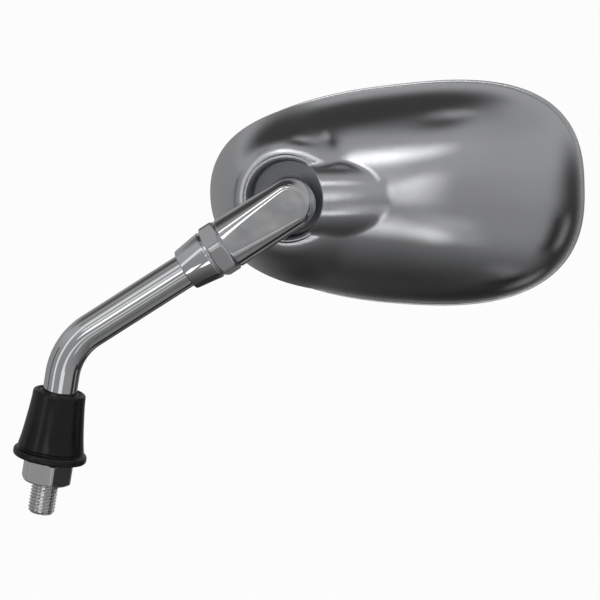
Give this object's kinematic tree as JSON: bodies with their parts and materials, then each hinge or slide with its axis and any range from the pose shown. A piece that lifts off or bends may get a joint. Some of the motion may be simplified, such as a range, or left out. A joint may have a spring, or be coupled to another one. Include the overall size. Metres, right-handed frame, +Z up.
{
  "type": "motorcycle mirror",
  "caption": "Left rear-view mirror with an oval head on a ball joint, a flattened arm, a bent tubular stem with a rubber boot and a threaded stud with a lock nut.",
  "frame": {"origin": "on the stud's axis at the lock nut's lower face, where the perch's top face sits", "axes": "+Z up the stud towards the bend, +X outboard towards the head's wide end, +Y towards the rider, the side the glass faces"},
  "size_m": [0.1944, 0.0745, 0.1811],
  "materials": {
    "threaded_stud": "zinc-plated turned steel",
    "lock_nut": "chrome plated",
    "rubber_boot": "matte black rubber",
    "stem_tube": "polished chrome",
    "swivel_pin": "turned steel",
    "friction_washer": "acetal",
    "coupling_nut": "polished chrome",
    "arm": "polished chrome",
    "ball_stud": "turned and ground steel",
    "rear_liner": "nylon",
    "front_liner": "nylon",
    "housing": "satin metallic grey",
    "recess_washer": "circular brushed, dark",
    "pressure_cup": "pressed steel",
    "disc_springs": "spring steel",
    "clamp_plate": "zinc-plated steel",
    "clamp_screws": "zinc-plated steel",
    "glass_carrier": "black plastic",
    "carrier_screws": "zinc-plated steel",
    "foam_pad": "white adhesive foam",
    "mirror_glass": "silvered glass",
    "gasket": "matte black rubber"
  },
  "bodies": {
    "stem": {"threaded_stud": "threaded_stud", "stem_tube": "stem_tube", "swivel_pin": "swivel_pin"},
    "lock_nut": {"lock_nut": "lock_nut"},
    "boot": {"rubber_boot": "rubber_boot"},
    "coupling_nut": {"coupling_nut": "coupling_nut"},
    "arm": {"arm": "arm", "ball_stud": "ball_stud", "friction_washer": "friction_washer"},
    "rear_liner": {"rear_liner": "rear_liner"},
    "front_liner": {"front_liner": "front_liner"},
    "head": {"housing": "housing", "recess_washer": "recess_washer", "pressure_cup": "pressure_cup", "disc_springs": "disc_springs", "clamp_plate": "clamp_plate", "clamp_screws": "clamp_screws", "glass_carrier": "glass_carrier", "carrier_screws": "carrier_screws", "foam_pad": "foam_pad", "mirror_glass": "mirror_glass", "gasket": "gasket"}
  },
  "joints": [
    {"name": "lock_nut_turn", "type": "hinge", "parent": "stem", "child": "lock_nut", "pos_m": [0, 0, 0], "axis": [0, 0, 1], "continuous": true},
    {"name": "boot_slide", "type": "slide", "parent": "stem", "child": "boot", "axis": [0, 0, 1], "range_m": [-0.009, 0.006]},
    {"name": "coupling_nut_turn", "type": "hinge", "parent": "stem", "child": "coupling_nut", "pos_m": [0, 0, 0.0521], "axis": [0.7373, 0, 0.6756], "continuous": true},
    {"name": "arm_swivel", "type": "hinge", "parent": "stem", "child": "arm", "pos_m": [0, 0, 0.0521], "axis": [0.7373, 0, 0.6756], "continuous": true},
    {"name": "head_spin", "type": "hinge", "parent": "arm", "child": "rear_liner", "pos_m": [0.07464, 0.02878, 0.1157], "axis": [0.0823, 0.9925, -0.0899], "range_deg": [-25, 25]},
    {"name": "head_pan", "type": "hinge", "parent": "rear_liner", "child": "front_liner", "pos_m": [0.07464, 0.02878, 0.1157], "axis": [-0.1945, 0.1245, 0.973], "range_deg": [-3, 15]},
    {"name": "head_tilt", "type": "hinge", "parent": "front_liner", "child": "head", "pos_m": [0.07464, 0.02878, 0.1157], "axis": [0.9623, -0.168, 0.2139], "range_deg": [-9, 9]}
  ]
}
